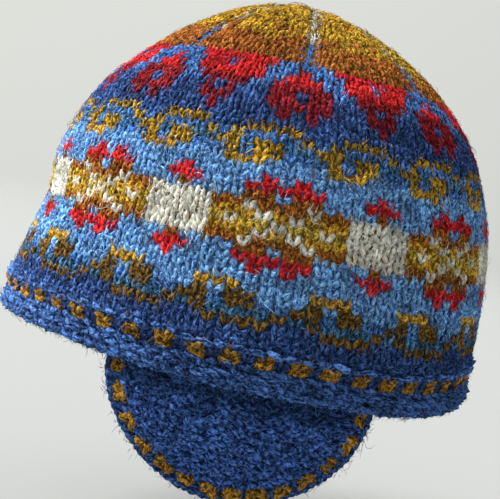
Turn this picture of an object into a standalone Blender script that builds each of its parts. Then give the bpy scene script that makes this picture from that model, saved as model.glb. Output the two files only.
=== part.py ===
"""Knitted baby bonnet with ear flaps: a domed cap, a ridged rim band, two flaps and their edgings.

Metres. +Z is up, +X is the wearer's front, and the ear flaps hang at -Y and +Y.
The origin is the centre of the head opening at rim level.
"""
from math import cos, pi, radians, sin, sqrt

import bmesh
import bpy

# Driving sizes of the cap
CAP_RADIUS = 0.0660
CAP_HEIGHT = 0.0985
CAP_WALL = 0.0028
CAP_FOOT = 0.0098
GATHERS = 8
GATHER_DEPTH = 0.0011
GATHER_START = 0.55
GATHER_TURN = 0.085

# Driving sizes of the rim band
BAND_HEIGHT = 0.0100
BAND_WALL = 0.0036
BAND_SAG = 0.0040
SAG_FADE_HEIGHT = 0.060

# Driving sizes of a flap and its edging
FLAP_HALF_WIDTH = 0.0370
FLAP_DROP = 0.0325
FLAP_FORWARD = 0.0050
FLAP_TUCK = 0.0060
FLAP_WALL = 0.0022
EDGING_WIDTH = 0.0058
EDGING_RAISE = 0.0006
FLAP_TILT_TIP = radians(34.0)

# Clearance between neighbouring pieces
CLEARANCE = 0.0004

# Mesh density
AROUND = 64
CAP_RINGS = 16
RING_CROWDING = 1.35
SLOPE_STEP = 0.02
FLAP_COLUMNS = 16
FLAP_ROWS = 7
EDGING_STATIONS = 26
EDGING_LEG_STEPS = 2

# Outline of the cap: share of the height, then the radius share at +X and at -X
PROFILE = (
    (0.00, 1.000, 1.015),
    (0.10, 1.003, 1.005),
    (0.20, 1.003, 0.968),
    (0.32, 0.994, 0.920),
    (0.45, 0.962, 0.905),
    (0.57, 0.896, 0.842),
    (0.65, 0.838, 0.778),
    (0.72, 0.760, 0.690),
    (0.78, 0.672, 0.598),
    (0.84, 0.566, 0.500),
    (0.89, 0.460, 0.405),
    (0.94, 0.325, 0.285),
    (0.975, 0.190, 0.165),
)

# Sag of the rim: share of a turn from +X towards +Y, share of the sag
SAG = (
    (0.00, 0.35),
    (0.15, 0.10),
    (0.25, 0.10),
    (0.40, 0.05),
    (0.50, 0.35),
    (0.62, 0.00),
    (0.72, 0.35),
    (0.80, 0.60),
    (0.89, 1.00),
    (1.00, 0.35),
)

# Outer face of the band from its lower to its upper edge: height share, bulge share of the wall
BAND_FACE = (
    (0.00, -0.30),
    (0.10, 0.06),
    (0.24, 0.12),
    (0.40, -0.08),
    (0.60, -0.08),
    (0.76, 0.12),
    (0.90, 0.06),
    (1.00, -0.30),
)

# Cross-section of the edging from its inner to its outer side: width share, raise share
EDGING_FACE = (
    (0.00, 0.00),
    (0.25, 1.00),
    (0.75, 1.00),
    (1.00, 0.00),
)

# Yarn colours
COLOURS = {
    "wool_sky": (0.20, 0.42, 0.78),
    "wool_royal": (0.05, 0.12, 0.38),
}


def clear_scene():
    for item in list(bpy.data.objects):
        bpy.data.objects.remove(item, do_unlink=True)


def make_material(name):
    material = bpy.data.materials.new(name)
    material.use_nodes = True
    shader = material.node_tree.nodes["Principled BSDF"]
    shader.inputs["Base Color"].default_value = (*COLOURS[name], 1.0)
    shader.inputs["Roughness"].default_value = 0.9
    return material


def table_slope(table, row, column):
    """Slope of a column at a row, from the rows on both sides of it."""
    low = table[max(row - 1, 0)]
    high = table[min(row + 1, len(table) - 1)]
    return (high[column] - low[column]) / (high[0] - low[0])


def read_table(table, key, column):
    """Value of a column at a key, on a smooth curve through the table's rows."""
    key = min(max(key, table[0][0]), table[-1][0])
    row = max(index for index in range(len(table) - 1) if table[index][0] <= key)
    low = table[row]
    high = table[row + 1]
    span = high[0] - low[0]
    share = (key - low[0]) / span
    blend = share * share * (3.0 - 2.0 * share)
    value = low[column] + (high[column] - low[column]) * blend
    value += span * share * (1.0 - share) ** 2 * table_slope(table, row, column)
    value -= span * share * share * (1.0 - share) * table_slope(table, row + 1, column)
    return value


def rim_sag(turn):
    """Depth of the rim below the opening plane at an angle round the cap."""
    return BAND_SAG * read_table(SAG, (turn / (2.0 * pi)) % 1.0, 1)


def lean(turn):
    """Share of the +X side in an outline value at an angle round the cap."""
    return 0.5 + 0.5 * cos(turn)


def outline_radius(turn, height):
    """Outer radius of the cap at an angle and a height."""
    share = min(max(height / CAP_HEIGHT, 0.0), PROFILE[-1][0])
    front = read_table(PROFILE, share, 1)
    back = read_table(PROFILE, share, 2)
    return CAP_RADIUS * (back + (front - back) * lean(turn))


def polar(turn, radius, height):
    return (radius * cos(turn), radius * sin(turn), height)


def sagged(turn, height):
    """Height after the rim's sag, which fades out up the cap."""
    fade = min(max(1.0 - height / SAG_FADE_HEIGHT, 0.0), 1.0)
    return height - rim_sag(turn) * fade


def new_object(name, mesh_builder, material):
    mesh = bpy.data.meshes.new(name)
    body = bmesh.new()
    mesh_builder(body)
    bmesh.ops.recalc_face_normals(body, faces=body.faces)
    body.to_mesh(mesh)
    body.free()
    for polygon in mesh.polygons:
        polygon.use_smooth = True
    mesh.materials.append(material)
    item = bpy.data.objects.new(name, mesh)
    bpy.context.scene.collection.objects.link(item)
    return item


def add_ring(body, points):
    return [body.verts.new(point) for point in points]


def bridge(body, lower, upper):
    """Quads between two closed rings of the same count."""
    count = len(lower)
    for index in range(count):
        follow = (index + 1) % count
        body.faces.new((lower[index], lower[follow], upper[follow], upper[index]))


def fan(body, ring, tip):
    count = len(ring)
    for index in range(count):
        body.faces.new((ring[index], ring[(index + 1) % count], tip))


def turns():
    return [2.0 * pi * index / AROUND for index in range(AROUND)]


def gather(turn, share):
    """Groove depth of the decrease lines, which begin at the cap's shoulder."""
    rise = min(max((share - GATHER_START) / (1.0 - GATHER_START), 0.0), 1.0)
    groove = 0.5 + 0.5 * cos(GATHERS * (turn + 0.5 * pi - GATHER_TURN))
    return GATHER_DEPTH * sqrt(rise) * groove * groove


def cap_ring(share, inset):
    """Ring of the cap's skin at a height share, moved in from the outer skin."""
    points = []
    for turn in turns():
        height = share * CAP_HEIGHT
        radius = outline_radius(turn, height) - gather(turn, share)
        slope = profile_slope(share)
        side = 1.0 / sqrt(1.0 + slope * slope)
        radius -= inset * side
        height -= inset * slope * side
        points.append(polar(turn, max(radius, CAP_WALL), sagged(turn, height)))
    return points


def profile_slope(share):
    """Mean inward slope of the outline at a height share: loss of radius per rise."""
    low = max(share - SLOPE_STEP, 0.0)
    high = min(share + SLOPE_STEP, PROFILE[-1][0])
    loss = sum(read_table(PROFILE, low, side) - read_table(PROFILE, high, side) for side in (1, 2))
    return 0.5 * loss * CAP_RADIUS / ((high - low) * CAP_HEIGHT)


def cap_shares():
    """Height shares of the cap's rings, which crowd towards the crown."""
    foot = CAP_FOOT / CAP_HEIGHT
    reach = PROFILE[-1][0] - foot
    steps = [index / (CAP_RINGS - 1) for index in range(CAP_RINGS)]
    return [foot + reach * (1.0 - (1.0 - step) ** RING_CROWDING) for step in steps]


def build_cap(body):
    shares = cap_shares()
    outer = [add_ring(body, cap_ring(share, 0.0)) for share in shares]
    inner = [add_ring(body, cap_ring(share, CAP_WALL)) for share in shares]
    for rings in (outer, inner):
        for lower, upper in zip(rings, rings[1:]):
            bridge(body, lower, upper)
    bridge(body, inner[0], outer[0])
    middle = 0.5 * CAP_RADIUS * (PROFILE[-1][1] - PROFILE[-1][2])
    fan(body, outer[-1], body.verts.new((middle, 0.0, CAP_HEIGHT)))
    fan(body, inner[-1], body.verts.new((middle, 0.0, CAP_HEIGHT - CAP_WALL)))


def build_band(body):
    top = CAP_FOOT - CLEARANCE
    low = top - BAND_HEIGHT
    section = [(low + BAND_HEIGHT * row[0], BAND_WALL * row[1]) for row in BAND_FACE]
    section += [(top, -BAND_WALL), (low, -BAND_WALL)]
    loops = []
    for height, bulge in section:
        points = [
            polar(turn, outline_radius(turn, height) + bulge, sagged(turn, height))
            for turn in turns()
        ]
        loops.append(add_ring(body, points))
    for lower, upper in zip(loops, loops[1:] + loops[:1]):
        bridge(body, lower, upper)


def flap_radius(turn, down):
    """Outer radius of a flap, which is tucked inside the band where down is negative."""
    height = max(-down, 0.0)
    return outline_radius(turn, height) - BAND_WALL - CLEARANCE - EDGING_RAISE


def flap_point(side, across, down, inset):
    """Point on a flap: distance across, distance down from the rim, depth below its outer face."""
    middle = side * 0.5 * pi
    turn = middle - side * (across + FLAP_FORWARD) / CAP_RADIUS
    below = max(down, 0.0)
    hang = below / FLAP_DROP
    tilt = FLAP_TILT_TIP * hang
    mean_tilt = 0.5 * tilt
    inward = below * sin(mean_tilt)
    fall = below * cos(mean_tilt) + min(down, 0.0)
    radius = flap_radius(turn, down) - inward - inset * cos(tilt)
    return polar(turn, radius, inset * sin(tilt) - fall - rim_sag(turn))


def flap_bottom(turn_share, half_width, drop):
    """Lower outline of a flap: across and down at a share of the way round its U."""
    angle = pi * turn_share
    return half_width * cos(angle), drop * max(sin(angle), 0.0)


def panel_half_width():
    return FLAP_HALF_WIDTH - EDGING_WIDTH - CLEARANCE


def panel_drop():
    return FLAP_DROP - EDGING_WIDTH - CLEARANCE


def panel_skin(body, side, inset):
    columns = []
    for column in range(FLAP_COLUMNS + 1):
        across, bottom = flap_bottom(column / FLAP_COLUMNS, panel_half_width(), panel_drop())
        points = []
        for row in range(FLAP_ROWS + 1):
            down = -FLAP_TUCK + (bottom + FLAP_TUCK) * row / FLAP_ROWS
            points.append(flap_point(side, across, down, inset))
        columns.append(add_ring(body, points))
    return columns


def sheet_faces(body, columns):
    for near, far in zip(columns, columns[1:]):
        for row in range(len(near) - 1):
            body.faces.new((near[row], far[row], far[row + 1], near[row + 1]))


def sheet_border(columns):
    """Verts round a grid of columns, in order."""
    left = columns[0]
    right = columns[-1]
    lower = [column[-1] for column in columns[1:-1]]
    upper = [column[0] for column in columns[1:-1]]
    return left + lower + right[::-1] + upper[::-1]


def build_panel(side):
    def fill(body):
        outer = panel_skin(body, side, 0.0)
        inner = panel_skin(body, side, FLAP_WALL)
        sheet_faces(body, outer)
        sheet_faces(body, inner)
        bridge(body, sheet_border(outer), sheet_border(inner))
    return fill


def edging_outline(width_share):
    """Stations of the U at a share of the edging's width: across and down."""
    half_width = FLAP_HALF_WIDTH - EDGING_WIDTH * (1.0 - width_share)
    drop = FLAP_DROP - EDGING_WIDTH * (1.0 - width_share)
    line = []
    for step in range(EDGING_LEG_STEPS):
        line.append((half_width, -FLAP_TUCK * (1.0 - step / EDGING_LEG_STEPS)))
    for station in range(EDGING_STATIONS + 1):
        line.append(flap_bottom(station / EDGING_STATIONS, half_width, drop))
    for step in range(1, EDGING_LEG_STEPS + 1):
        line.append((-half_width, -FLAP_TUCK * step / EDGING_LEG_STEPS))
    return line


def build_edging(side):
    def fill(body):
        tracks = []
        for width_share, raise_share in EDGING_FACE:
            rise = -EDGING_RAISE * raise_share
            line = edging_outline(width_share)
            tracks.append([body.verts.new(flap_point(side, a, d, rise)) for a, d in line])
        for width_share in (1.0, 0.5, 0.0):
            line = edging_outline(width_share)
            tracks.append([body.verts.new(flap_point(side, a, d, FLAP_WALL)) for a, d in line])
        sections = list(zip(*tracks))
        for near, far in zip(sections, sections[1:]):
            bridge(body, near, far)
        body.faces.new(sections[0])
        body.faces.new(sections[-1])
    return fill


def main():
    clear_scene()
    sky = make_material("wool_sky")
    royal = make_material("wool_royal")
    new_object("cap", build_cap, sky)
    new_object("brim_band", build_band, royal)
    for name, side in (("left", -1.0), ("right", 1.0)):
        new_object("ear_flap_" + name, build_panel(side), royal)
        new_object("flap_edging_" + name, build_edging(side), royal)


main()
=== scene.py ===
"""Knitted baby bonnet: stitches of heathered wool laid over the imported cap, rim band and ear flaps.

Metres, +Z up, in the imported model's frame. The cap is worked in rounds from the rim to the crown.
A chart gives each stitch its yarn, and each yarn is one piece.
"""
import math

import bpy
import numpy as np
from mathutils import Euler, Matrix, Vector


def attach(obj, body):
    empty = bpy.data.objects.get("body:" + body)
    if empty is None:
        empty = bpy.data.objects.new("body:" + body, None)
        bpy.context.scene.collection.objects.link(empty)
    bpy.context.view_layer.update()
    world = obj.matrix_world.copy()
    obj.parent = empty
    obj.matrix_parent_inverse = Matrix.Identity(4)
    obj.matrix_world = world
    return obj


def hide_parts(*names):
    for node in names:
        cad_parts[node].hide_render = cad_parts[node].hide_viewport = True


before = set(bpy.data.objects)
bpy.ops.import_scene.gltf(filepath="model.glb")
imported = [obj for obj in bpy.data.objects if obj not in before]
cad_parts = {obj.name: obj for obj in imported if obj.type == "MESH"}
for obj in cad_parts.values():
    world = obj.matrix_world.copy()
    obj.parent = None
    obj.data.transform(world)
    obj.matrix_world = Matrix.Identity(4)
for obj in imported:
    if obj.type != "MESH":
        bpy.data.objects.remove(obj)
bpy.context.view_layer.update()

SEED = 71
RNG = np.random.default_rng(SEED)

# Sizes of the solids that the stitches lie on
CAP_RADIUS = 0.0660
CAP_HEIGHT = 0.0985
CAP_WALL = 0.0028
CAP_FOOT = 0.0098
BAND_HEIGHT = 0.0100
BAND_WALL = 0.0036
BAND_SAG = 0.0040
SAG_FADE_HEIGHT = 0.060
GATHERS = 8
GATHER_DEPTH = 0.0011
GATHER_START = 0.55
FLAP_HALF_WIDTH = 0.0370
FLAP_DROP = 0.0325
FLAP_FORWARD = 0.0050
FLAP_TUCK = 0.0060
FLAP_WALL = 0.0022
EDGING_WIDTH = 0.0058
EDGING_RAISE = 0.0006
FLAP_TILT_TIP = math.radians(34.0)
CLEARANCE = 0.0004

# Outline of the cap: share of the height, then the radius share at +X and at -X
PROFILE = np.array((
    (0.00, 1.000, 1.015),
    (0.10, 1.003, 1.005),
    (0.20, 1.003, 0.968),
    (0.32, 0.994, 0.920),
    (0.45, 0.962, 0.905),
    (0.57, 0.896, 0.842),
    (0.65, 0.838, 0.778),
    (0.72, 0.760, 0.690),
    (0.78, 0.672, 0.598),
    (0.84, 0.566, 0.500),
    (0.89, 0.460, 0.405),
    (0.94, 0.325, 0.285),
    (0.975, 0.190, 0.165),
))

# Sag of the rim: share of a turn from +X towards +Y, share of the sag
SAG = np.array((
    (0.00, 0.35),
    (0.15, 0.10),
    (0.25, 0.10),
    (0.40, 0.05),
    (0.50, 0.35),
    (0.62, 0.00),
    (0.72, 0.35),
    (0.80, 0.60),
    (0.89, 1.00),
    (1.00, 0.35),
))

# Outer face of the band from its lower to its upper edge: height share, bulge share of the wall
BAND_FACE = np.array((
    (0.00, -0.30),
    (0.10, 0.06),
    (0.24, 0.12),
    (0.40, -0.08),
    (0.60, -0.08),
    (0.76, 0.12),
    (0.90, 0.06),
    (1.00, -0.30),
))

# Gauge: stitches in one repeat, repeats round the cap, and the angle of the first motif's middle
REPEAT = 14
REPEATS = 8
STITCHES = REPEAT * REPEATS
FIRST_TURN = -0.5 * math.pi + 0.085
STITCH_WIDTH = 2.0 * math.pi * CAP_RADIUS / STITCHES

# Rounds: arcs above the cap's foot of the lowest and the first of a chart, and the pitches
FOOT_ROUNDS = (-0.0004, 0.0006)
FIRST_ARC = 0.00246
BODY_PITCH = 0.00202
CROWN_PITCH = 0.00275
FLOWER_ARC = 0.0536

# Columns are this much closer at the middles of the pale blocks, as a share of a column
COLUMN_WARP = 0.22

# The knitting is pulled to one side above this arc, by this much at the apex
LEAN_START = 0.045
APEX_LEAN = 0.0032

# The crown settles by this much from this arc up to the apex
SETTLE = 0.0016
SETTLE_START = 0.078

# The decrease lines fade out over this arc before the apex
APEX_SMOOTH = 0.009

# Rim band: stitches round it, level of its foot, angle of one dot, and its ridges and dots
BAND_STITCHES = 104
BAND_TURN = 2.0 * math.pi / BAND_STITCHES
BAND_FOOT = CAP_FOOT - CLEARANCE - BAND_HEIGHT
DOT_TURN = -1.686
BAND_RIDGES = ((0.0022, 1.45), (0.0044, 1.35), (0.0096, 1.7))
DOT_HEIGHTS = (0.0063, 0.0080)

# Strands of its ridges slant by this angle, overlap, and lie above and below the line
BAND_SLANT = -0.20
BAND_FILL = 1.2
RIDGE_STEP = 0.0005
RIDGE_LEAN = 0.12
BAND_WOBBLE = 0.00012

# Lower edge of the band: overlapping flat strands, each row shifted by a share of a stitch
EDGE_HEIGHT = 0.0007
EDGE_SHIFTS = (0.0, 0.33, 0.66)

# Fit of strands in their places: tall, deep and lean, after wide where that is fixed
EDGE_FIT = (0.55, 1.15, 0.08)
BAND_DOT_FIT = (1.42, 0.90, 1.0, 0.20)
BAND_PLAIN_FIT = (1.15, 0.92, 0.8, 0.14)
# Plain stitches between the band's dots are dimmed to this share, a painted shade in the groove of
# the dot row
BAND_PLAIN_PAINTED_SHADE = 0.8

# Flaps: name and side of the Y axis
SIDES = (("left", -1.0), ("right", 1.0))

# Yarns: linear colour, how strongly the fleece is mottled, and material slot
YARNS = {
    "sky": ((0.140, 0.312, 0.690), 0.60, "wool_sky"),
    "denim": ((0.054, 0.158, 0.395), 0.66, "wool_sky"),
    "mid": ((0.022, 0.068, 0.205), 0.66, "wool_royal"),
    "teal": ((0.034, 0.115, 0.215), 0.70, "wool_teal"),
    "royal": ((0.025, 0.064, 0.200), 0.66, "wool_royal"),
    "rim": ((0.032, 0.084, 0.240), 0.66, "wool_royal"),
    # The royal yarn made lighter as painted light for the flap panel, which the lamps leave too dark
    "indigo": ((0.031, 0.086, 0.275), 0.70, "wool_royal"),
    "gold": ((0.520, 0.275, 0.022), 0.62, "wool_gold"),
    "straw": ((0.440, 0.310, 0.044), 0.62, "wool_gold"),
    "amber": ((0.215, 0.108, 0.008), 0.70, "wool_gold"),
    "olive": ((0.310, 0.180, 0.007), 0.70, "wool_gold"),
    "bronze": ((0.130, 0.068, 0.007), 0.68, "wool_rust"),
    "rust": ((0.265, 0.086, 0.008), 0.68, "wool_rust"),
    "red": ((0.540, 0.015, 0.018), 0.52, "wool_red"),
    "crimson": ((0.195, 0.005, 0.011), 0.56, "wool_red"),
    "cream": ((0.730, 0.715, 0.610), 0.26, "wool_cream"),
    "pale": ((0.420, 0.440, 0.400), 0.40, "wool_cream"),
}
LETTERS = {"R": "red", "N": "rust", "W": "cream", "G": "gold", "Y": "straw"}

# Rounds of the body from the rim up. A pattern runs from a motif's middle towards +X and repeats.
# A dot is the round's ground and X its contrast. The middle rounds mirror about the last.
MIDDLE_ROUNDS = [(pattern, "sky", "sky") for pattern in (
    ".",
    ".R.....R.....R",
    "RRR...RRR...RR",
    ".NN....N....NN",
    "NNWNNWWWWWNNWN",
    "GWGGGWWWWWGGGW",
    "WYYWYWWWWWYWYY",
)]
BODY_ROUNDS = (
    (".", "royal", "royal"),
    ("X...XXX", "royal", "bronze"),
    (".X.X...", "teal", "bronze"),
    ("..XX.XX", "denim", "bronze"),
    ("...X.XX", "sky", "bronze"),
    ("...XXX.", "sky", "gold"),
    *MIDDLE_ROUNDS,
    *MIDDLE_ROUNDS[-2::-1],
    ("...XXX.", "sky", "gold"),
    ("...X.XX", "denim", "olive"),
    ("..XX.XX", "teal", "olive"),
    (".X.X...", "denim", "olive"),
    ("X...XXX", "mid", "olive"),
    (".", "royal", "royal"),
)

# Rounds of the flower band on the shoulder
FLOWER_ROUNDS = (
    (".X.....X.....X", "royal", "crimson"),
    ("XXX...XXX...XX", "royal", "crimson"),
    (".XX...X.X...XX", "royal", "crimson"),
    ("XXX..XXXXX..XX", "denim", "crimson"),
    ("XX..XXXXXXX..X", "denim", "red"),
    ("X...XXX.XXX...", "denim", "red"),
    ("...XXXXXXXXX..", "denim", "red"),
)

# Crown: rust stitches in each round and above, rounds with blue decrease lines, one line stitch
# in this many that is olive above those, and stitch width against the body's
RUST_SHARES = (1.0, 1.0, 0.96, 0.82, 0.38, 0.14, 0.06)
LAST_RUST_SHARE = 0.03
LINE_BLUE_ROUNDS = 4
LINE_OLIVE_EVERY = 3
CROWN_WIDTH = 0.78

# Cap: unevenness as shares of a column and of a round, and the spread of the stitches' lean
COLUMN_SPREAD = 0.05
ROUND_SPREAD = 0.08
CAP_LEAN = 0.09

# Stitches are wider at the middles of the pale blocks, and narrow on the decrease lines.
# Narrow ones keep some depth, and all fill this share of their round
WIDTH_WARP = 0.10
LINE_WIDTH = 0.42
FIELD_WIDTH = 1.10
EXTRA_DEPTH = 0.3
STITCH_FILL = 0.97

# Stitches stay this far below the apex, and the last ones reach this far past it
APEX_GAP = 0.0012
APEX_REACH = 0.0002

# Samples of the cap's outline: up to its last row, from there to the apex, and of the leaned part
OUTLINE_SAMPLES = 500
CLOSING_SAMPLES = 60
LEAN_SAMPLES = 300


def read_table(table, key, column):
    """Values of a column at an array of keys, on a smooth curve through the table's rows."""
    key = np.clip(key, table[0, 0], table[-1, 0])
    row = np.clip(np.searchsorted(table[:, 0], key, side="right") - 1, 0, len(table) - 2)
    last = len(table) - 1
    low, high = table[row], table[row + 1]
    before, after = table[np.maximum(row - 1, 0)], table[np.minimum(row + 2, last)]
    span = high[..., 0] - low[..., 0]
    share = (key - low[..., 0]) / span
    start = (high[..., column] - before[..., column]) / (high[..., 0] - before[..., 0])
    end = (after[..., column] - low[..., column]) / (after[..., 0] - low[..., 0])
    blend = share * share * (3.0 - 2.0 * share)
    value = low[..., column] + (high[..., column] - low[..., column]) * blend
    value += span * share * (1.0 - share) ** 2 * start
    value -= span * share * share * (1.0 - share) * end
    return value


def rim_sag(turn):
    return BAND_SAG * read_table(SAG, (turn / (2.0 * np.pi)) % 1.0, 1)


def outline_radius(turn, height):
    share = np.clip(height / CAP_HEIGHT, 0.0, PROFILE[-1, 0])
    front = read_table(PROFILE, share, 1)
    back = read_table(PROFILE, share, 2)
    return CAP_RADIUS * (back + (front - back) * (0.5 + 0.5 * np.cos(turn)))


def polar(turn, radius, height):
    return np.stack([radius * np.cos(turn), radius * np.sin(turn), height], axis=-1)


def sagged(turn, height):
    fade = np.clip(1.0 - height / SAG_FADE_HEIGHT, 0.0, 1.0)
    return height - rim_sag(turn) * fade


def gather(turn, share):
    """Groove depth of the decrease lines, which begin at the cap's shoulder."""
    rise = np.clip((share - GATHER_START) / (1.0 - GATHER_START), 0.0, 1.0)
    groove = 0.5 + 0.5 * np.cos(GATHERS * (turn - FIRST_TURN))
    return GATHER_DEPTH * np.sqrt(rise) * groove * groove


def meridian():
    """Arc length from the cap's foot to each height share along the mean outline."""
    last = PROFILE[-1, 0]
    shares = np.concatenate([np.linspace(CAP_FOOT / CAP_HEIGHT, last, OUTLINE_SAMPLES),
                             np.linspace(last, 1.0, CLOSING_SAMPLES)[1:]])
    radius = mean_radius(shares)
    steps = np.hypot(np.diff(radius), np.diff(shares) * CAP_HEIGHT)
    return np.concatenate([[0.0], np.cumsum(steps)]), shares


def mean_radius(share):
    share = np.asarray(share, dtype=float)
    body = 0.5 * CAP_RADIUS * (read_table(PROFILE, share, 1) + read_table(PROFILE, share, 2))
    return body * crown_close(share)


def crown_close(share):
    """Share of the radius left where the outline closes to the apex."""
    return np.clip((1.0 - share) / (1.0 - PROFILE[-1, 0]), 0.0, 1.0)


ARCS, ARC_SHARES = meridian()
CAP_ARC = ARCS[-1]

# Radius against arc above the widest round, for points that the lean has moved
LEAN_ARCS = np.linspace(LEAN_START, CAP_ARC, LEAN_SAMPLES)
LEAN_RADII = mean_radius(np.interp(LEAN_ARCS, ARCS, ARC_SHARES))


def leaned(turn, arc):
    """Angle and arc of a stitch after the knitting is pulled towards +X near the apex."""
    share = np.clip((arc - LEAN_START) / (CAP_ARC - LEAN_START), 0.0, 1.0)
    radius = np.interp(arc, LEAN_ARCS, LEAN_RADII)
    shift = APEX_LEAN * share * share * (3.0 - 2.0 * share)
    x = radius * np.cos(turn) + shift
    y = radius * np.sin(turn)
    moved = np.interp(-np.hypot(x, y), -LEAN_RADII, LEAN_ARCS)
    above = arc > LEAN_START
    return np.where(above, np.arctan2(y, x), turn), np.where(above, moved, arc)


def cap_surface(turn, arc):
    """Point on the cap at an angle and an arc length from its foot."""
    groove = gather(turn, np.interp(arc, ARCS, ARC_SHARES))
    groove *= np.clip((CAP_ARC - arc) / APEX_SMOOTH, 0.0, 1.0)
    turn, arc = leaned(turn, arc)
    share = np.interp(arc, ARCS, ARC_SHARES)
    height = share * CAP_HEIGHT + np.minimum(arc, 0.0)
    radius = (outline_radius(turn, height) - groove) * crown_close(share)
    settled = np.clip((arc - SETTLE_START) / (CAP_ARC - SETTLE_START), 0.0, 1.0)
    settled = SETTLE * settled * (2.0 - settled)
    return polar(turn, radius, sagged(turn, height) - settled)


# Depth of the yarn's middle line below the solid's face
SINK = 0.0006

# Steps to either side that give a surface's directions, along its first and second coordinates
CAP_PROBE = (0.004, 0.0006)
BAND_PROBE = (0.004, 0.0004)
FLAP_PROBE = (0.0006, 0.0006)


def frames(surface, u, v, du, dv):
    """Points just below a surface with unit vectors across, up and out."""
    point = surface(u, v)
    across = surface(u + du, v) - surface(u - du, v)
    up = surface(u, v + dv) - surface(u, v - dv)
    across /= np.linalg.norm(across, axis=-1, keepdims=True)
    up -= across * np.sum(across * up, axis=-1, keepdims=True)
    up /= np.linalg.norm(up, axis=-1, keepdims=True)
    out = np.cross(across, up)
    return point - out * SINK, across, up, out


def tube_template(path, sides):
    """Closed tube along a path of (x, y, z, half width, half depth) rings.

    Returns vertices, ring centres, faces, places along and round the strand, and ring numbers.
    """
    path = np.array(path)
    rings = len(path)
    heading = np.gradient(path[:, :3], axis=0)
    verts = []
    for ring in range(rings):
        forward = heading[ring] / np.linalg.norm(heading[ring])
        side = np.cross(forward, (0.0, 0.0, 1.0))
        side /= np.linalg.norm(side)
        out = np.cross(side, forward)
        for step in range(sides):
            angle = 2.0 * math.pi * step / sides + 0.5 * math.pi
            verts.append(path[ring, :3] + side * math.cos(angle) * path[ring, 3]
                         + out * math.sin(angle) * path[ring, 4])
    ring_numbers = np.repeat(np.arange(rings), sides)
    strand = np.stack([ring_numbers / (rings - 1), np.tile(np.arange(sides), rings) / sides], axis=1)
    faces = []
    for ring in range(rings - 1):
        for step in range(sides):
            a = ring * sides + step
            b = ring * sides + (step + 1) % sides
            faces.append((a, b, b + sides, a + sides))
    faces.append(tuple(range(sides))[::-1])
    faces.append(tuple(range((rings - 1) * sides, rings * sides)))
    return np.array(verts), path[ring_numbers, :3], faces, strand, ring_numbers


def mirrored(template, axis=0):
    verts, centres, faces, strand, rings = template
    flip = np.ones(3)
    flip[axis] = -1.0
    return verts * flip, centres * flip, [face[::-1] for face in faces], strand, rings


def joined(first, second):
    base, ring_base = len(first[0]), int(first[4].max()) + 1
    verts, centres, strand = (np.concatenate([first[part], second[part]]) for part in (0, 1, 3))
    faces = first[2] + [tuple(index + base for index in face) for face in second[2]]
    return verts, centres, faces, strand, np.concatenate([first[4], second[4] + ring_base])


# One leg of a knit stitch: across, up, out, half width, half depth
LEG_PATH = (
    (0.00022, -0.00160, -0.00050, 0.00038, 0.00032),
    (0.00056, -0.00084, 0.00028, 0.00066, 0.00046),
    (0.00092, 0.00012, 0.00054, 0.00075, 0.00050),
    (0.00124, 0.00102, 0.00034, 0.00066, 0.00046),
    (0.00150, 0.00184, -0.00050, 0.00038, 0.00032),
)
LEG = tube_template(LEG_PATH, 4)
STITCH = joined(LEG, mirrored(LEG))

# One arm of a dot, plumper than a leg and nearer to the middle
ARM_PATH = (
    (0.00010, -0.00130, -0.00040, 0.00055, 0.00050),
    (0.00040, -0.00066, 0.00050, 0.00088, 0.00070),
    (0.00074, 0.00006, 0.00084, 0.00094, 0.00074),
    (0.00104, 0.00076, 0.00050, 0.00086, 0.00068),
    (0.00136, 0.00140, -0.00040, 0.00052, 0.00048),
)
ARM = tube_template(ARM_PATH, 5)
DOT = joined(ARM, mirrored(ARM))

# A purl bump, an arched strand lying across the stitch
BUMP_PATH = (
    (-0.00195, -0.00056, -0.00060, 0.00040, 0.00038),
    (-0.00104, 0.00008, 0.00040, 0.00070, 0.00066),
    (0.00000, 0.00036, 0.00074, 0.00076, 0.00072),
    (0.00104, 0.00008, 0.00040, 0.00070, 0.00066),
    (0.00195, -0.00056, -0.00060, 0.00040, 0.00038),
)
BUMP = tube_template(BUMP_PATH, 5)
SMILE = mirrored(BUMP, 1)

# Width of the place that a bump fills
BUMP_SPAN = 0.0036

# Unevenness of the yarn: shift of a ring across, up and out, share of its girth, and their limits
RING_SHIFT = np.array((0.00013, 0.00011, 0.00014))
RING_SHIFT_LIMIT = 2.0
RING_GIRTH = 0.17
RING_GIRTH_LIMIT = 0.3

# Unevenness from stitch to stitch: shares of its size and of its brightness
SIZE_SPREAD = 0.08
TINT_SPREAD = 0.15
JITTER_LIMIT = 2.5


def repeated(faces, count, size):
    """Faces of a number of copies of a shape, each with size vertices."""
    return [tuple(base + corner for corner in face)
            for base in range(0, count * size, size) for face in faces]


def jitter(count, spread):
    return RNG.normal(0.0, spread, count).clip(-JITTER_LIMIT * spread, JITTER_LIMIT * spread)


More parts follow.
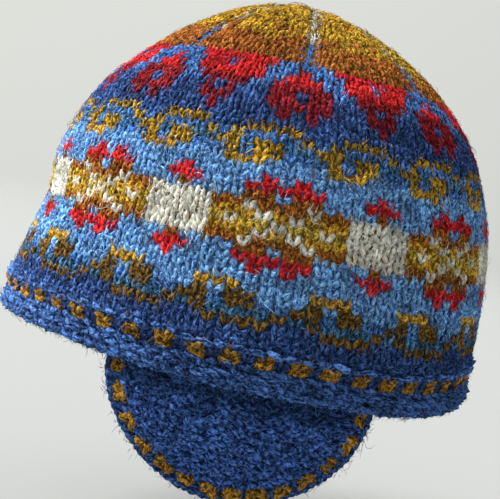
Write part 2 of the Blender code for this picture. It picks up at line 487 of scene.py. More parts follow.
def place(template, lies, wide, tall, deep, twist, tint):
    """Copies of a template on frames, scaled, turned in the surface, made uneven and tinted."""
    verts, centres, faces, strand, rings = template
    point, across, up, out = lies
    count, size = len(point), len(verts)
    ring_count = int(rings.max()) + 1
    girth = RNG.normal(0.0, RING_GIRTH, (count, ring_count, 1))
    girth = 1.0 + girth.clip(-RING_GIRTH_LIMIT, RING_GIRTH_LIMIT)
    shift = RNG.normal(0.0, 1.0, (count, ring_count, 3))
    shift = shift.clip(-RING_SHIFT_LIMIT, RING_SHIFT_LIMIT) * RING_SHIFT
    local = centres + (verts - centres) * girth[:, rings] + shift[:, rings]
    x = local[..., 0] * wide[:, None]
    y = local[..., 1] * tall[:, None]
    z = local[..., 2] * deep[:, None]
    turn_cos, turn_sin = np.cos(twist)[:, None], np.sin(twist)[:, None]
    turned_x = x * turn_cos - y * turn_sin
    turned_y = x * turn_sin + y * turn_cos
    spots = (point[:, None] + across[:, None] * turned_x[..., None]
             + up[:, None] * turned_y[..., None] + out[:, None] * z[..., None])
    marks = np.empty((count, size, 3))
    marks[:, :, :2] = strand
    marks[:, :, 2] = tint[:, None]
    return spots.reshape(-1, 3), repeated(faces, count, size), marks.reshape(-1, 3)


def linked(name, data):
    item = bpy.data.objects.new(name, data)
    bpy.context.scene.collection.objects.link(item)
    return item


def mesh_piece(name, verts, faces, marks, material):
    """Smooth mesh object with each vertex's marks, which the materials read."""
    mesh = bpy.data.meshes.new(name)
    mesh.from_pydata(verts.tolist(), [], faces)
    mesh.attributes.new("strand", "FLOAT_VECTOR", "POINT").data.foreach_set(
        "vector", marks.astype(np.float32).ravel())
    mesh.polygons.foreach_set("use_smooth", [True] * len(mesh.polygons))
    mesh.materials.append(material)
    return linked(name, mesh)


class Skein:
    """Collects all strands of one yarn until they become one mesh."""

    def __init__(self):
        self.verts, self.faces, self.marks, self.roots, self.count = [], [], [], [], 0

    def add(self, batch):
        verts, faces, marks = batch
        self.faces += [tuple(index + self.count for index in face) for face in faces]
        self.verts.append(verts)
        self.marks.append(marks)
        self.count += len(verts)

    def knit(self, template, lies, wide, tall, deep, lean, twist=0.0, shade=1.0):
        """Stitches on frames, each a little off in size, lean and tone, and dimmed by shade where
        painted shade is laid on them.
        """
        count = len(lies[0])
        if not count:
            return
        sizes = [scale * (1.0 + jitter(count, SIZE_SPREAD)) for scale in (wide, tall, deep)]
        # The roots keep each stitch's painted shade for its loose fibres
        self.roots.append(np.stack([*lies, np.full_like(lies[0], shade)], axis=1))
        twists = twist + jitter(count, lean)
        tints = shade * (1.0 + jitter(count, TINT_SPREAD))
        self.add(place(template, lies, *sizes, twists, tints))

    def build(self, name, material):
        return mesh_piece(name, np.concatenate(self.verts), self.faces, np.concatenate(self.marks),
                          material)


# Loose fibres: sides, thickness and range of shares of it, and shares lost from root to tip
FIBRE_SIDES = 3
FIBRE_RADIUS = 0.000062
FIBRE_GIRTH = (0.7, 1.3)
FIBRE_TAPER = (1.25, 0.6)

# A root lies up to this far from its stitch's middle, less so up the cloth, and stands off it
ROOT_SPREAD = 0.0021
ROOT_SPREAD_UP = 0.7
ROOT_HEIGHT = (0.00045, 0.00110)

# Share of the fibres that are combed upwards, their angle's spread, curl, and least rise of tips
COMBED_SHARE = 0.55
COMBED_SPREAD = 0.55
FIBRE_CURL = 0.22
TIP_LIFT = 0.0001

# Brightness of the fibres, the share of them that are paler, and by how much
FIBRE_SHADES = (0.60, 1.45)
PALE_SHARE = 0.03
PALE_GAIN = 2.0

# Place along and round a strand whose fleece the fibres take
FIBRE_STRAND = (0.4, 0.5)

# Kinds: number for a stitch, rings below the tip, shortest, longest, highest arch, rise of the tip
SHORT_FIBRES = (14.0, 1, 0.0007, 0.0024, 0.0, 0.0006)
LONG_FIBRES = (0.42, 3, 0.0018, 0.0044, 0.0007, 0.0009)

# Share of that fuzz on each group
FUZZ_SHARE = {"cap": 1.0, "brim": 1.05, "flap_left": 0.58, "flap_right": 0.58,
              "flap_edge_left": 0.20, "flap_edge_right": 0.20}


def lay_fibres(target, roots, kind, density):
    """Fibres that lie low over the stitches, close the gaps and soften the edges."""
    each, rings, shortest, longest, arch_height, tip_rise = kind
    count = int(each * density * len(roots))
    pick = roots[RNG.integers(0, len(roots), count)]
    point, across, up, out, shade = pick.transpose(1, 0, 2)[:, :, None]
    spread = RNG.uniform(-ROOT_SPREAD, ROOT_SPREAD, (count, 2, 1, 1))
    start = point + across * spread[:, 0] + up * spread[:, 1] * ROOT_SPREAD_UP
    along = RNG.normal(0.0, COMBED_SPREAD, count) + np.pi * RNG.integers(0, 2, count)
    free = RNG.uniform(0.0, 2.0 * math.pi, count)
    angle = np.where(RNG.random(count) < COMBED_SHARE, along, free)[:, None, None]
    forward = up * np.cos(angle) + across * np.sin(angle)
    sideways = np.cross(out, forward)
    single = (count, 1, 1)
    length = RNG.uniform(shortest, longest, single)
    curl = RNG.normal(0.0, FIBRE_CURL, single) * length
    lift = arch_height * RNG.random(single)
    rise = tip_rise * RNG.random(single) ** 2
    t = np.linspace(0.0, 1.0, rings + 1)[None, :, None]
    arch = np.sin(math.pi * t)
    path = (
        start + out * RNG.uniform(*ROOT_HEIGHT, single)
        + forward * length * t
        + sideways * curl * arch
        + out * (lift * arch + (rise + TIP_LIFT) * t)
    )
    taper = FIBRE_TAPER[0] - FIBRE_TAPER[1] * t[:, :-1]
    radius = FIBRE_RADIUS * RNG.uniform(*FIBRE_GIRTH, single) * taper
    sides = []
    for step in range(FIBRE_SIDES):
        turn = 2.0 * math.pi * step / FIBRE_SIDES
        sides.append(path[:, :-1] + radius * (sideways * math.cos(turn) + out * math.sin(turn)))
    tube = np.stack(sides, axis=2).reshape(count, rings * FIBRE_SIDES, 3)
    spots = np.concatenate([tube, path[:, -1:]], axis=1)
    size = rings * FIBRE_SIDES + 1
    shape = [tuple(range(FIBRE_SIDES))]
    for ring in range(rings):
        low = ring * FIBRE_SIDES
        for step in range(FIBRE_SIDES):
            a, b = low + (step + 1) % FIBRE_SIDES, low + step
            above = (b + FIBRE_SIDES, a + FIBRE_SIDES) if ring < rings - 1 else (size - 1,)
            shape.append((a, b, *above))
    marks = np.empty((count, size, 3))
    marks[:, :, :2] = FIBRE_STRAND
    pale = np.where(RNG.random(count) < PALE_SHARE, PALE_GAIN, 1.0)
    # Fibres vary at random in brightness, and are dimmed by their root's painted shade
    marks[:, :, 2] = (shade[:, 0, 0] * pale * RNG.uniform(*FIBRE_SHADES, count))[:, None]
    target.add((spots.reshape(-1, 3), repeated(shape, count, size), marks.reshape(-1, 3)))


# Noise for the wool: scale and detail of the streaks on a strand, flecks, patches and fine fuzz
STREAK_NOISE = (2.2, 4.0)
FLECK_NOISE = (1300.0, 5.0)
PATCH_NOISE = (170.0, 2.0)
FUZZ_NOISE = (2600.0, 2.0)
NOISE_RANGE = (0.3, 0.7)

# Streaks' stretch along and round a strand, their slant, and the step from strand to strand
STREAK_ALONG = 1.1
STREAK_ROUND = 3.4
STREAK_SLANT = 2.2
STREAK_STEP = 311.0

# Fleece from streaks and flecks, spread over the heather's range
FLEECE_STREAK = 1.25
FLEECE_GAIN = 2.3
FLEECE_OFFSET = -2.09

# Heather: position of a shade, its change with the mottle, and the white added with the mottle
HEATHER = (
    (0.24, -1.15, 0.00),
    (0.46, 0.00, 0.00),
    (0.60, 0.90, 0.01),
    (0.80, 2.00, 0.05),
)

# Plies of a strand, their winding, and the brightness over patches and over plies, the latter a
# painted shade in the grooves between plies
PLIES = 2
PLY_WINDING = 3.0
PATCH_SHADES = (0.76, 1.22)
PLY_PAINTED_SHADES = (0.86, 1.05)

# Relief of the wool: shares of plies, streaks and fine fuzz, and the depth
PLY_RELIEF = 0.25
STREAK_RELIEF = 0.9
FUZZ_RELIEF = 0.8
WOOL_RELIEF = 0.00024

# Sheen of the wool: weight, and how its colour follows the yarn's
WOOL_SHEEN = 0.36
SHEEN_GAIN = 1.4
SHEEN_LIFT = 0.04

# Inner cloth: flecks, how far purl rows wave, its brightness over flecks and its painted shade in the
# hollows of the purl rows, relief and sheen
CLOTH_NOISE = (800.0, 3.0)
PURL_WAVE = 0.8
CLOTH_SHADES = (0.55, 1.2)
PURL_PAINTED_SHADES = (0.55, 1.1)
PURL_RELIEF = 0.8
CLOTH_FLECK_RELIEF = 0.8
ROW_RELIEF = 0.1
CLOTH_RELIEF = 0.0007
CLOTH_SHEEN = 0.1
CLOTH_SHEEN_TINT = (0.3, 0.35, 0.5)


class Graph:
    """Short forms for the nodes and links of a new material or world."""

    def __init__(self, kind, name, shader="Principled BSDF"):
        self.data = kind.new(name)
        self.data.use_nodes = True
        self.nodes = self.data.node_tree.nodes
        self.link = self.data.node_tree.links.new
        self.shader = self.nodes[shader]

    def node(self, kind, **inputs):
        made = self.nodes.new("ShaderNode" + kind)
        for key, value in inputs.items():
            made.inputs[key.replace("_", " ")].default_value = value
        return made

    def math(self, operation, *values):
        """Math node whose inputs are sockets or numbers."""
        made = self.node("Math")
        made.operation = operation
        for socket, value in zip(made.inputs, values):
            if isinstance(value, (int, float)):
                socket.default_value = value
            else:
                self.link(value, socket)
        return made.outputs["Value"]

    def times(self, first, second, *added):
        """Product of two values, with a third added where it is given."""
        return self.math("MULTIPLY_ADD" if added else "MULTIPLY", first, second, *added)

    def spread(self, value, source, low, high):
        """Maps a value from a range to a range, clamped."""
        made = self.node("MapRange", From_Min=source[0], From_Max=source[1], To_Min=low,
                         To_Max=high)
        self.link(value, made.inputs["Value"])
        return made.outputs["Result"]

    def noise(self, vector, scale, detail):
        made = self.node("TexNoise", Scale=scale, Detail=detail)
        self.link(vector, made.inputs["Vector"])
        return made.outputs["Fac"]

    def vector(self, operation, vector):
        made = self.node("VectorMath")
        made.operation = operation
        self.link(vector, made.inputs[0])
        return made

    def scaled(self, colour, factor):
        made = self.vector("SCALE", colour)
        self.link(factor, made.inputs["Scale"])
        return made.outputs["Vector"]

    def strand(self):
        """Place along and round the strand, and the tint, from the mesh's marks."""
        marks = self.node("Attribute")
        marks.attribute_name = "strand"
        split = self.node("SeparateXYZ")
        self.link(marks.outputs["Vector"], split.inputs["Vector"])
        return [split.outputs[axis] for axis in "XYZ"]

    def ramp(self, fac, stops):
        """Colours at a value, from rows of position and colour."""
        made = self.node("ValToRGB")
        elements = made.color_ramp.elements
        while len(elements) < len(stops):
            elements.new(0.5)
        for element, (position, colour) in zip(elements, stops):
            element.position = position
            element.color = (*colour, 1.0)
        self.link(fac, made.inputs["Fac"])
        return made.outputs["Color"]

    def finish_cloth(self, colour, height, distance, sheen, tint):
        self.link(colour, self.shader.inputs["Base Color"])
        bump = self.node("Bump", Strength=0.7, Distance=distance)
        self.link(height, bump.inputs["Height"])
        self.link(bump.outputs["Normal"], self.shader.inputs["Normal"])
        self.shader.inputs["Roughness"].default_value = 0.92
        self.shader.inputs["Specular IOR Level"].default_value = 0.10
        self.shader.inputs["Sheen Weight"].default_value = sheen
        self.shader.inputs["Sheen Roughness"].default_value = 0.5
        self.shader.inputs["Sheen Tint"].default_value = (*tint, 1.0)
        return self.data


def heather_stops(colour, mottle):
    """Fleece of dark, middle and light fibres, with a few pale ones."""
    return [(position, [min(channel * (1.0 + change * mottle) + white * mottle, 1.0)
                        for channel in colour])
            for position, change, white in HEATHER]


def wool_material(name, colour, mottle):
    """Heathered wool: streaks of fleece along plied strands, with a faint soft sheen."""
    graph = Graph(bpy.data.materials, name)
    place_on = graph.node("TexCoord").outputs["Object"]
    along, round_it, tint = graph.strand()

    # Streaks lie along the strand and slant round it; each strand starts at its own place
    streak_at = graph.node("CombineXYZ")
    graph.link(graph.times(along, STREAK_ALONG, graph.times(tint, STREAK_STEP)),
               streak_at.inputs["X"])
    graph.link(graph.times(round_it, STREAK_ROUND, graph.times(along, STREAK_SLANT)),
               streak_at.inputs["Y"])
    streak = graph.noise(streak_at.outputs["Vector"], *STREAK_NOISE)
    fleck = graph.noise(place_on, *FLECK_NOISE)
    patch = graph.noise(place_on, *PATCH_NOISE)
    fleece = graph.times(streak, FLEECE_STREAK, fleck)
    fleece = graph.times(fleece, FLEECE_GAIN, FLEECE_OFFSET)
    colour_out = graph.ramp(fleece, heather_stops(colour, mottle))

    # Ply grooves wind round each strand, darkened in colour as painted shade
    phase = graph.times(along, PLY_WINDING, round_it)
    ply = graph.math("SINE", graph.times(phase, 2.0 * math.pi * PLIES))
    # The tint holds each stitch's tone at random and any painted shade laid on the stitch
    level = graph.times(tint, graph.spread(patch, NOISE_RANGE, *PATCH_SHADES))
    level = graph.times(level, graph.spread(ply, (-1.0, 1.0), *PLY_PAINTED_SHADES))
    relief = graph.times(ply, PLY_RELIEF, graph.times(streak, STREAK_RELIEF))
    relief = graph.times(graph.noise(place_on, *FUZZ_NOISE), FUZZ_RELIEF, relief)
    glow = [min(channel * SHEEN_GAIN + SHEEN_LIFT, 1.0) for channel in colour]
    return graph.finish_cloth(graph.scaled(colour_out, level), relief, WOOL_RELIEF, WOOL_SHEEN,
                              glow)


def backing_material(name, stops, columns, rows):
    """Inner cloth behind the stitches: purl rows in relief with painted shade in their hollows,
    banded by height in stop colours.
    """
    graph = Graph(bpy.data.materials, name)
    place_on = graph.node("TexCoord").outputs["Object"]
    height, turn, _ = graph.strand()
    colour_out = graph.ramp(height, stops)
    fleck = graph.noise(place_on, *CLOTH_NOISE)
    row_phase = graph.times(height, 2.0 * math.pi * rows)
    row_wave = graph.math("SINE", row_phase)
    column_wave = graph.math("SINE", graph.times(turn, 2.0 * math.pi * columns))
    purl = graph.math("SINE", graph.times(column_wave, PURL_WAVE, row_phase))
    # Flecks vary the cloth's tone, and the hollows of the purl rows are darkened as painted shade
    shade = graph.times(graph.spread(fleck, NOISE_RANGE, *CLOTH_SHADES),
                        graph.spread(purl, (-1.0, 1.0), *PURL_PAINTED_SHADES))
    relief = graph.times(purl, PURL_RELIEF, graph.times(fleck, CLOTH_FLECK_RELIEF))
    relief = graph.times(row_wave, ROW_RELIEF, relief)
    return graph.finish_cloth(graph.scaled(colour_out, shade), relief, CLOTH_RELIEF, CLOTH_SHEEN,
                              CLOTH_SHEEN_TINT)


def lay_round(skeins, arc, pitch, columns, yarn_of, line_every=0):
    """One round of knit stitches. yarn_of gives each column's yarn; decrease lines are narrower."""
    index = np.arange(columns)
    step_turn = 2.0 * math.pi / columns
    wave = 2.0 * np.pi * index / REPEAT if columns == STITCHES else np.full(columns, 0.5 * np.pi)
    warp = COLUMN_WARP * np.sin(wave) if columns == STITCHES else 0.0
    turn = FIRST_TURN + (index + warp + jitter(columns, COLUMN_SPREAD)) * step_turn
    arcs = np.minimum(arc + jitter(columns, ROUND_SPREAD) * pitch, CAP_ARC - APEX_GAP)
    radius = float(mean_radius(np.interp(arc, ARCS, ARC_SHARES)))
    wide = step_turn * radius / STITCH_WIDTH * (1.0 + WIDTH_WARP * np.cos(wave))
    if line_every:
        wide *= np.where(index % line_every == 0, LINE_WIDTH, FIELD_WIDTH)
    deep = np.minimum(wide + EXTRA_DEPTH, 1.0)
    lies = frames(cap_surface, turn, arcs, *CAP_PROBE)
    tall = min(pitch / BODY_PITCH * STITCH_FILL, (CAP_ARC - arc + APEX_REACH) / LEG_PATH[-1][1])
    names = np.array([yarn_of(column) for column in index])
    for yarn in sorted(set(names)):
        mine = names == yarn
        skeins[yarn].knit(STITCH, [part[mine] for part in lies], wide[mine], tall, deep[mine],
                          CAP_LEAN)


def chart_yarn(pattern, ground, contrast):
    def yarn_of(column):
        mark = pattern[column % len(pattern)]
        return ground if mark == "." else LETTERS.get(mark, contrast)
    return yarn_of


def crown_yarn(step, per_section):
    """Crown rounds: rust that gives way to olive, with a decrease line at each section's start."""
    def yarn_of(column):
        if column % per_section == 0:
            if step < LINE_BLUE_ROUNDS:
                return "denim"
            return "olive" if (column // per_section + step) % LINE_OLIVE_EVERY == 0 else "pale"
        share = RUST_SHARES[step] if step < len(RUST_SHARES) else LAST_RUST_SHARE
        return "rust" if RNG.random() < share else "olive"
    return yarn_of


def lay_cap(skeins):
    for arc in FOOT_ROUNDS:
        lay_round(skeins, arc, BODY_PITCH, STITCHES, chart_yarn(*BODY_ROUNDS[0]))
    for index, chart in enumerate(BODY_ROUNDS):
        lay_round(skeins, FIRST_ARC + index * BODY_PITCH, BODY_PITCH, STITCHES, chart_yarn(*chart))
    arc = FLOWER_ARC
    for chart in FLOWER_ROUNDS:
        lay_round(skeins, arc, CROWN_PITCH, STITCHES, chart_yarn(*chart))
        arc += CROWN_PITCH
    rounds = int((CAP_ARC - arc) / CROWN_PITCH)
    pitch = (CAP_ARC - arc) / (rounds + 0.5)
    for step in range(rounds):
        radius = mean_radius(np.interp(arc, ARCS, ARC_SHARES))
        section = 2.0 * math.pi * radius / REPEATS
        per_section = int(round(float(section / (CROWN_WIDTH * STITCH_WIDTH))))
        per_section = min(max(per_section, 2), REPEAT - 2)
        lay_round(skeins, arc, pitch, per_section * REPEATS,
                  crown_yarn(step, per_section), per_section)
        arc += pitch


def band_surface(turn, height):
    """Outer face of the rim band at an angle and a height above its lower edge."""
    share = np.clip(height / BAND_HEIGHT, 0.0, 1.0)
    level = BAND_FOOT + height
    radius = outline_radius(turn, level) + BAND_WALL * read_table(BAND_FACE, share, 1)
    return polar(turn, radius, sagged(turn, level))


def band_frames(turn, height):
    return frames(band_surface, turn, height + jitter(len(turn), BAND_WOBBLE), *BAND_PROBE)


def alternate(lies, first):
    return [part[first::2] for part in lies]


def lay_band(skeins):
    """Purl ridges round the rim, with a row of dots between the upper two."""
    turn = DOT_TURN + np.arange(BAND_STITCHES) * BAND_TURN
    wide = BAND_FILL * BAND_TURN * (CAP_RADIUS + BAND_WALL) / BUMP_SPAN
    for shift in EDGE_SHIFTS:
        edge = band_frames(turn + shift * BAND_TURN, EDGE_HEIGHT)
        skeins["rim"].knit(BUMP, edge, wide, *EDGE_FIT)
    for height, deep in BAND_RIDGES:
        for template, shift, step in ((SMILE, 0.5, -RIDGE_STEP), (BUMP, 0.0, RIDGE_STEP)):
            lies = band_frames(turn + shift * BAND_TURN, height + step)
            skeins["rim"].knit(template, lies, wide, 1.0, deep, RIDGE_LEAN, BAND_SLANT)
    for height in DOT_HEIGHTS:
        lies = band_frames(turn, height)
        skeins["amber"].knit(DOT, alternate(lies, 0), *BAND_DOT_FIT)
        # The plain stitches between the dots carry painted shade
        skeins["royal"].knit(STITCH, alternate(lies, 1), *BAND_PLAIN_FIT, shade=BAND_PLAIN_PAINTED_SHADE)


def flap_surface(side, inset=0.0):
    """Surface of one flap: distance across, then distance up from the rim (down is negative)."""
    def surface(across, up):
        down = -up
        turn = side * 0.5 * np.pi - side * (across + FLAP_FORWARD) / CAP_RADIUS
        below = np.maximum(down, 0.0)
        tilt = FLAP_TILT_TIP * below / FLAP_DROP
        inward = below * np.sin(0.5 * tilt)
        fall = below * np.cos(0.5 * tilt) + np.minimum(down, 0.0)
        rim = outline_radius(turn, np.maximum(up, 0.0)) - BAND_WALL - CLEARANCE - EDGING_RAISE
        radius = rim - inward - inset * np.cos(tilt)
        return polar(turn, radius, inset * np.sin(tilt) - fall - rim_sag(turn))
    return surface


def flap_frames(side, across, up):
    """Frames on a flap with the across vector turned so that out stays outward."""
    point, along, rise, out = frames(flap_surface(side), across, up, *FLAP_PROBE)
    if side > 0.0:
        return point + 2.0 * SINK * out, -along, rise, -out
    return point, along, rise, out


# Flap: stitch width and height, strands' distance from the row's line, unevenness, and fit
FLAP_GAUGE = 0.0033
FLAP_PITCH = 0.0021
FLAP_STEP = 0.0004
FLAP_WOBBLE = (0.0003, 0.00025)
FLAP_FIT = (1.05, 1.0, 0.34)

# Painted shadow under the brim: the panel's wool is dimmed to this share below the rim, and clears
# from this depth over this one
PAINTED_RIM_SHADOW_START = 0.0012
PAINTED_RIM_SHADOW_LEAST = 0.30
PAINTED_RIM_SHADOW_FADE = 0.0085


def lay_flap(skeins, side):
    """Purl panel of a flap, in rows that follow the rim."""
    half_width = FLAP_HALF_WIDTH - 0.5 * EDGING_WIDTH
    drop = FLAP_DROP - 0.5 * EDGING_WIDTH
    for row in range(int((FLAP_TUCK + drop) / FLAP_PITCH)):
        level = FLAP_TUCK - (row + 0.5) * FLAP_PITCH
        below = min(max(-level / drop, 0.0), 1.0)
        reach = half_width * math.sqrt(1.0 - below * below)
        columns = int(reach / FLAP_GAUGE)
        # Painted shadow under the brim: the top rows are dimmed, and their loose fibres with them
        cleared = -(level + PAINTED_RIM_SHADOW_START) / PAINTED_RIM_SHADOW_FADE
        shade = PAINTED_RIM_SHADOW_LEAST + (1.0 - PAINTED_RIM_SHADOW_LEAST) * min(max(cleared, 0.0), 1.0)
        across = np.arange(-columns, columns + 1) * FLAP_GAUGE
        count = len(across)
        # The panel is knit in the royal yarn made lighter as painted light
        for template, shift, step in ((SMILE, 0.5, -FLAP_STEP), (BUMP, 0.0, FLAP_STEP)):
            lies = flap_frames(
                side, across + shift * FLAP_GAUGE + jitter(count, FLAP_WOBBLE[0]),
                level + step + jitter(count, FLAP_WOBBLE[1]))
            skeins["indigo"].knit(template, lies, FLAP_GAUGE / BUMP_SPAN, *FLAP_FIT, shade=shade)


# Edging: stitches along it, an odd number so that a dot starts and ends it, and their pitch
EDGING_STITCHES = 31
EDGING_PITCH = 0.00385

# Samples of the edging's line, and the step to either side that gives its heading
EDGING_SAMPLES = 400
HEADING_STEP = 0.0004

# Ridges from the outer edge inwards: share of the width, strand, tall and deep
EDGING_RIDGES = (
    (0.98, BUMP, 0.55, 0.8),
    (0.90, SMILE, 0.9, 1.2),
    (0.76, BUMP, 0.95, 1.2),
    (0.06, SMILE, 0.95, 0.9),
)
EDGING_FILL = 0.80
EDGING_LEAN = 0.14

# Rows of dots: shares of the width, and fit of the dots and of the stitches between them
EDGING_DOTS = (0.24, 0.50)
EDGING_DOT_FIT = (1.45, 0.95, 1.3, 0.20)
EDGING_PLAIN_FIT = (1.10, 0.88, 1.1, 0.15)


def edging_line(width_share):
    """Dense line along the edging's U at a share of its width: across and down."""
    inset = EDGING_WIDTH * (1.0 - width_share)
    half_width, drop = FLAP_HALF_WIDTH - inset, FLAP_DROP - inset
    angle = np.linspace(0.0, np.pi, EDGING_SAMPLES)
    across = np.concatenate([[half_width], half_width * np.cos(angle), [-half_width]])
    down = np.concatenate([[-FLAP_TUCK], drop * np.sin(angle), [-FLAP_TUCK]])
    return across, down


def walk(across, down, stations):
    """Even stations along a line, with the heading at each."""
    steps = np.hypot(np.diff(across), np.diff(down))
    length = np.concatenate([[0.0], np.cumsum(steps)])
    at = (np.arange(stations) + 0.5) / stations * length[-1]
    before, after = at - HEADING_STEP, at + HEADING_STEP
    heading = np.arctan2(
        np.interp(before, length, down) - np.interp(after, length, down),
        np.interp(after, length, across) - np.interp(before, length, across),
    )
    return np.interp(at, length, across), np.interp(at, length, down), heading


def edge_frames(side, width_share, stations=EDGING_STITCHES):
    """Frames along the edging, and the turn that sets each strand along it."""
    across, down, heading = walk(*edging_line(width_share), stations)
    turned = heading if side < 0.0 else math.pi - heading
    return flap_frames(side, across, -down), turned


def lay_edging(skeins, side):
    """Rolled border of a flap: close ridges, with a row of dots inside them."""
    wide = EDGING_FILL * EDGING_PITCH / BUMP_SPAN
    for width_share, template, tall, deep in EDGING_RIDGES:
        lies, twist = edge_frames(side, width_share, EDGING_STITCHES * 2)
        skeins["royal"].knit(template, lies, wide, tall, deep, EDGING_LEAN, twist)
    for width_share in EDGING_DOTS:
        lies, twist = edge_frames(side, width_share)
        skeins["amber"].knit(DOT, alternate(lies, 0), *EDGING_DOT_FIT, twist[::2])
        skeins["royal"].knit(STITCH, alternate(lies, 1), *EDGING_PLAIN_FIT, twist[1::2])


def grid_piece(name, skins, material, close):
    """Closed sheet between an outer and an inner grid. close joins the columns round the cap."""
    outer, inner = skins
    rows, columns = outer.shape[:2]
    size = rows * columns
    index = np.arange(size).reshape(rows, columns)
    if close:
        index = np.concatenate([index, index[:, :1]], axis=1)
    low, high = index[:-1], index[1:]
    quads = np.stack([low[:, :-1], low[:, 1:], high[:, 1:], high[:, :-1]], axis=-1).reshape(-1, 4)
    faces = [quads, size + quads[:, ::-1]]
    edges = [(index[0], 1), (index[-1], -1)]
    if not close:
        edges += [(index[:, 0], -1), (index[:, -1], 1)]
    for edge, order in edges:
        wall = np.stack([edge[:-1], edge[1:], size + edge[1:], size + edge[:-1]], axis=-1)
        faces.append(wall[:, ::order])
    verts = np.concatenate([outer.reshape(-1, 3), inner.reshape(-1, 3)])
    faces = np.concatenate(faces).tolist()
    share = np.repeat(np.linspace(0.0, 1.0, rows), columns)
    marks = np.zeros((2 * size, 3))
    marks[:, 0] = np.concatenate([share, share])
    marks[:, 1] = np.tile(np.linspace(0.0, 1.0, columns, endpoint=False), 2 * rows)
    return mesh_piece(name, verts, faces, marks, material)


# Inner cloths: turns of their grids' columns, and how far the cap's lies before the yarn's middle
CLOTH_TURNS = np.linspace(0.0, 2.0 * np.pi, STITCHES, endpoint=False)
CLOTH_LIFT = 0.00008

# The cap's cloth: lowest and highest arc, rows of its grid, purl rows on it, and its colours
# as rows of arc, yarn and share of the yarn's brightness, which dims it as painted shade
# in the gaps between the stitches
CLOTH_LOW = -0.0012
CLOTH_HIGH = CAP_ARC - 0.0003
CAP_CLOTH_ROWS = 62
CAP_CLOTH_PURLS = 52
CAP_CLOTH_BANDS = (
    (CLOTH_LOW, "royal", 0.8),
    (0.0050, "royal", 0.8),
    (0.0075, "teal", 0.8),
    (0.0105, "sky", 0.6),
    (0.0198, "sky", 0.6),
    (0.0208, "gold", 0.75),
    (0.0325, "gold", 0.75),
    (0.0338, "sky", 0.6),
    (0.0415, "sky", 0.6),
    (0.0450, "denim", 0.8),
    (0.0490, "royal", 0.9),
    (0.0560, "royal", 0.9),
    (0.0640, "crimson", 0.9),
    (0.0700, "rust", 0.9),
    (0.0790, "olive", 0.9),
    (CLOTH_HIGH, "olive", 0.9),
)
# The band's and flaps' cloth: royal, dimmed as painted shade in the gaps between the stitches
PLAIN_CLOTH_BANDS = ((0.0, "royal", 0.8), (1.0, "royal", 0.8))

# The band's cloth: heights, rows, purl rows, and how far its outer face lies below the solid's
BAND_CLOTH_LOW = 0.0002
BAND_CLOTH_HIGH = BAND_HEIGHT + 0.0003
BAND_CLOTH_ROWS = 14
BAND_CLOTH_PURLS = 5
BAND_CLOTH_SINK = 0.0006

# A flap's cloth: columns and rows of its grid and of its purl, margin and depth of its outer face
FLAP_CLOTH_GRID = (40, 16)
FLAP_CLOTH_PURLS = (22, 18)
FLAP_CLOTH_MARGIN = 0.0006
FLAP_CLOTH_SINK = 0.0005


def band_stops(low, high, bands):
    """Ramp stops of a banded cloth, each yarn's colour dimmed as painted shade in the gaps between
    the stitches.
    """
    return [((place_at - low) / (high - low), tuple(channel * painted_gap_shade for channel in YARNS[yarn][0]))
            for place_at, yarn, painted_gap_shade in bands]


def build_cap_cloth():
    arc = np.linspace(CLOTH_LOW, CLOTH_HIGH, CAP_CLOTH_ROWS)
    point, _, _, out = frames(cap_surface, *np.meshgrid(CLOTH_TURNS, arc), *CAP_PROBE)
    skins = (point + out * CLOTH_LIFT, point - out * (CAP_WALL - SINK))
    material = backing_material("cap_cloth_wool", band_stops(CLOTH_LOW, CLOTH_HIGH, CAP_CLOTH_BANDS),
                                STITCHES, CAP_CLOTH_PURLS)
    return grid_piece("cap_cloth", skins, material, True)


def build_band_cloth(stops):
    height = np.linspace(BAND_CLOTH_LOW, BAND_CLOTH_HIGH, BAND_CLOTH_ROWS)
    turn, height = np.meshgrid(CLOTH_TURNS, height)
    point = band_surface(turn, height)
    face = np.hypot(point[..., 0], point[..., 1])
    level = BAND_FOOT + height
    outer = polar(turn, face - BAND_CLOTH_SINK, point[..., 2])
    inner = polar(turn, outline_radius(turn, level) - BAND_WALL, point[..., 2])
    material = backing_material("brim_cloth_wool", stops, BAND_STITCHES, BAND_CLOTH_PURLS)
    return grid_piece("brim_cloth", (outer, inner), material, True)


def build_flap_cloth(name, side, material):
    columns, rows = FLAP_CLOTH_GRID
    angle, share = np.meshgrid(np.linspace(0.0, np.pi, columns), np.linspace(0.0, 1.0, rows))
    across = (FLAP_HALF_WIDTH - FLAP_CLOTH_MARGIN) * np.cos(angle)
    bottom = (FLAP_DROP - FLAP_CLOTH_MARGIN) * np.sin(angle)
    down = -FLAP_TUCK + (bottom + FLAP_TUCK) * share
    skins = [flap_surface(side, inset)(across, -down) for inset in (FLAP_CLOTH_SINK, FLAP_WALL)]
    return grid_piece("flap_cloth_" + name, skins, material, False)


def build_cloths():
    """Cloth behind the stitches: the cap's, the band's and each flap's."""
    finish_piece(build_cap_cloth(), ("cap",), "wool_sky")
    stops = band_stops(0.0, 1.0, PLAIN_CLOTH_BANDS)
    finish_piece(build_band_cloth(stops), ("brim_band",), "wool_royal")
    material = backing_material("flap_cloth_wool", stops, *FLAP_CLOTH_PURLS)
    for name, side in SIDES:
        finish_piece(build_flap_cloth(name, side, material), ("ear_flap_" + name,), "wool_royal")


# Camera: lens and sensor in millimetres, nearest and farthest distance, place, and degrees
CAMERA_LENS = 71.0
CAMERA_SENSOR = 36.0
CAMERA_CLIP = (0.01, 20.0)
CAMERA_AT = (0.0042, -0.288, 0.0435)
CAMERA_PITCH = 3.60
CAMERA_TURN = 1.1
CAMERA_ROLL = 11.3

# Floor: half its side, its height and colour, and the distances over which it fades out
FLOOR_REACH = 12.0
FLOOR_LEVEL = -0.062
FLOOR_COLOUR = (0.310, 0.320, 0.315, 1.0)
FLOOR_FADE = (0.6, 3.0)

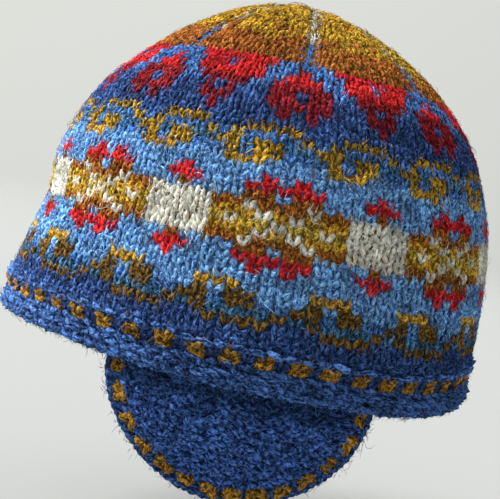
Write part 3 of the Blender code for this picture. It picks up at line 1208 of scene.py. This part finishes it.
# Suns: name, direction towards it, strength and colour, all of one wide angle
SUN_ANGLE = math.radians(50.0)
SUNS = (
    ("window", (-0.72, 0.12, 0.58), 7.8, (1.0, 0.99, 0.97)),
    ("front_left", (-0.60, -0.55, 0.85), 0.25, (1.0, 1.0, 1.0)),
)

# Room: direction of its bright side, and colours of its dim and bright sides
ROOM_BRIGHT_WAY = (-0.34, 0.62, 0.55)
ROOM_DIM = (0.12, 0.135, 0.175)
ROOM_BRIGHT = (0.82, 0.83, 0.78)


def build_camera():
    data = bpy.data.cameras.new("camera")
    data.lens = CAMERA_LENS
    data.sensor_width = CAMERA_SENSOR
    data.clip_start, data.clip_end = CAMERA_CLIP
    camera = linked("camera", data)
    camera.location = CAMERA_AT
    aim = Euler((math.radians(90.0 - CAMERA_PITCH), 0.0, math.radians(CAMERA_TURN))).to_matrix()
    roll = Euler((0.0, 0.0, math.radians(CAMERA_ROLL))).to_matrix()
    camera.rotation_euler = (aim @ roll).to_euler()
    bpy.context.scene.camera = camera


def build_stage():
    mesh = bpy.data.meshes.new("floor")
    corners = [(x * FLOOR_REACH, y * FLOOR_REACH, FLOOR_LEVEL)
               for x, y in ((-1, -1), (1, -1), (1, 1), (-1, 1))]
    mesh.from_pydata(corners, [], [(0, 1, 2, 3)])
    graph = Graph(bpy.data.materials, "pale_floor")
    graph.shader.inputs["Base Color"].default_value = FLOOR_COLOUR
    graph.shader.inputs["Roughness"].default_value = 0.9

    # Far away the floor fades into the room, so that no line shows where it ends
    distance = graph.vector("LENGTH", graph.node("TexCoord").outputs["Object"])
    fade = graph.spread(distance.outputs["Value"], FLOOR_FADE, 1.0, 0.0)
    fade.node.interpolation_type = "SMOOTHSTEP"
    graph.link(fade, graph.shader.inputs["Alpha"])
    mesh.materials.append(graph.data)
    floor = linked("floor", mesh)


def build_lights():
    for name, direction, strength, colour in SUNS:
        data = bpy.data.lights.new(name, "SUN")
        data.angle, data.energy, data.color = SUN_ANGLE, strength, colour
        way = Vector(direction).to_track_quat("Z", "Y")
        linked(name, data).rotation_euler = way.to_euler()

    # The room is brightest towards the window, up on the left, and dimmer low on the right
    graph = Graph(bpy.data.worlds, "soft_room", "Background")
    graph.shader.inputs["Strength"].default_value = 1.0
    facing = graph.vector("DOT_PRODUCT", graph.node("TexCoord").outputs["Generated"])
    facing.inputs[1].default_value = ROOM_BRIGHT_WAY
    level = graph.spread(facing.outputs["Value"], (-1.0, 1.0), 0.0, 1.0)
    colour = graph.ramp(level, ((0.0, ROOM_DIM), (1.0, ROOM_BRIGHT)))
    graph.link(colour, graph.shader.inputs["Color"])
    bpy.context.scene.world = graph.data
    bpy.context.scene.view_settings.view_transform = "Standard"


def finish_piece(piece, nodes, slot):
    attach(piece, "root")
    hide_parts(*nodes)


def build_group(group, node, materials, lay, *where):
    """Lays a group's stitches and builds them and their loose fibres, a piece for each yarn."""
    skeins = {name: Skein() for name in YARNS}
    lay(skeins, *where)
    for name, skein in skeins.items():
        if not skein.count:
            continue
        material, slot = materials[name], YARNS[name][2]
        finish_piece(skein.build(group + "_stitches_" + name, material), (node,), slot)
        roots = np.concatenate(skein.roots)
        fibres = Skein()
        for kind in (SHORT_FIBRES, LONG_FIBRES):
            lay_fibres(fibres, roots, kind, FUZZ_SHARE[group])
        finish_piece(fibres.build(group + "_fibres_" + name, material), (node,), slot)


def main():
    build_camera()
    materials = {name: wool_material("wool_" + name, *yarn[:2]) for name, yarn in YARNS.items()}
    build_group("cap", "cap", materials, lay_cap)
    build_group("brim", "brim_band", materials, lay_band)
    for name, side in SIDES:
        build_group("flap_" + name, "ear_flap_" + name, materials, lay_flap, side)
        build_group("flap_edge_" + name, "flap_edging_" + name, materials, lay_edging, side)
    build_cloths()
    build_stage()
    build_lights()


main()
